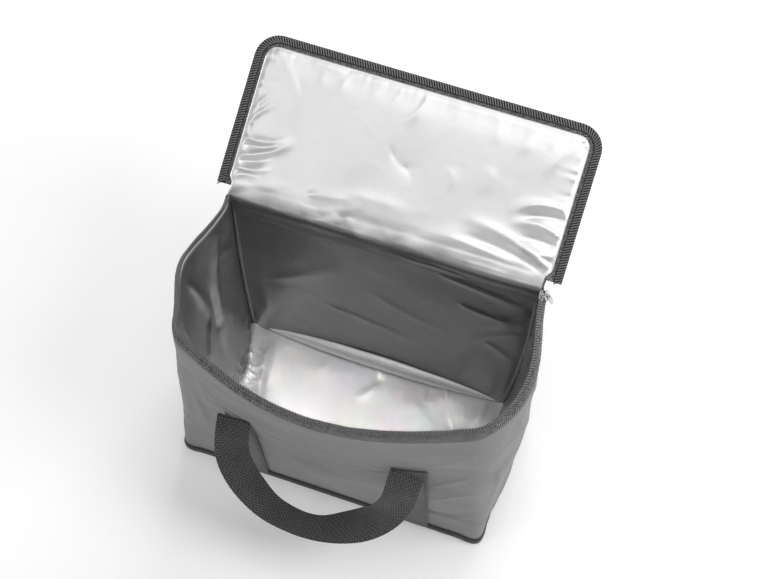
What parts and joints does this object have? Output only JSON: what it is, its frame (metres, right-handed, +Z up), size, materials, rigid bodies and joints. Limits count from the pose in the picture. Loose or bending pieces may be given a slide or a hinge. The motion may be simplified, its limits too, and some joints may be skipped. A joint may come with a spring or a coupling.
{
  "type": "insulated cooler bag",
  "caption": "Soft insulated cooler bag with a zipped flap lid, silver foil lining, webbing carrying handles and a black base.",
  "frame": {"origin": "middle of the base, on the surface that the bag stands on", "axes": "+Z up, front of the bag towards -Y, +X to the right seen from the front"},
  "size_m": [0.4052, 0.4486, 0.3786],
  "materials": {
    "grey_fabric": "plain woven polyester, mid grey, matt with a faint sheen",
    "black_fabric": "woven polyester, near black, matt",
    "webbing": "ribbed polypropylene webbing, charcoal",
    "zip_tape": "herringbone zip tape, charcoal",
    "zip_coil": "nylon coil, charcoal",
    "silver_foil": "aluminised lining film, silver, soft satin gloss, puckered",
    "foam": "closed-cell insulating foam sheet, white",
    "slider_metal": "bright die-cast zip slider"
  },
  "bodies": {
    "bag_body": {"base_panel": "black_fabric", "base_band": "black_fabric", "foam_base": "foam", "foil_floor": "silver_foil", "outer_wrap_panel": "grey_fabric", "outer_back_panel": "grey_fabric", "rear_seam_binding_left": "black_fabric", "rear_seam_binding_right": "black_fabric", "foam_front": "foam", "foam_left": "foam", "foam_right": "foam", "foam_back": "foam", "foil_front_and_sides": "silver_foil", "foil_back": "silver_foil", "rim_zip_tape": "zip_tape", "rim_zip_coil": "zip_coil", "front_webbing_left": "webbing", "front_webbing_right": "webbing", "rear_webbing_left": "webbing", "rear_webbing_right": "webbing", "lid_fold": "grey_fabric"},
    "lid": {"lid_foil": "silver_foil", "lid_foam": "foam", "lid_outer_panel": "grey_fabric", "lid_zip_tape": "zip_tape", "lid_zip_coil": "zip_coil"},
    "front_handle": {"front_handle_loop": "webbing"},
    "rear_handle": {"rear_handle_loop": "webbing"},
    "slider": {"zip_slider": "slider_metal"},
    "puller": {"zip_puller": "slider_metal"}
  },
  "joints": [
    {"name": "lid_hinge", "type": "hinge", "parent": "bag_body", "child": "lid", "pos_m": [0, 0.098, 0.29], "axis": [1, 0, 0], "range_deg": [-12, 148.6]},
    {"name": "front_handle_swing", "type": "hinge", "parent": "bag_body", "child": "front_handle", "pos_m": [0.005, -0.121, 0.19], "axis": [-1, 0, 0], "range_deg": [0, 115]},
    {"name": "rear_handle_swing", "type": "hinge", "parent": "bag_body", "child": "rear_handle", "pos_m": [-0.005, 0.102, 0.19], "axis": [1, 0, 0], "range_deg": [0, 75]},
    {"name": "slider_travel", "type": "slide", "parent": "bag_body", "child": "slider", "axis": [0.1191, -0.9929, 0], "range_m": [0, 0.049]},
    {"name": "puller_swing", "type": "hinge", "parent": "slider", "child": "puller", "pos_m": [0.19348, 0.08684, 0.2919], "axis": [0.1191, -0.9929, 0], "range_deg": [0, 80]}
  ]
}
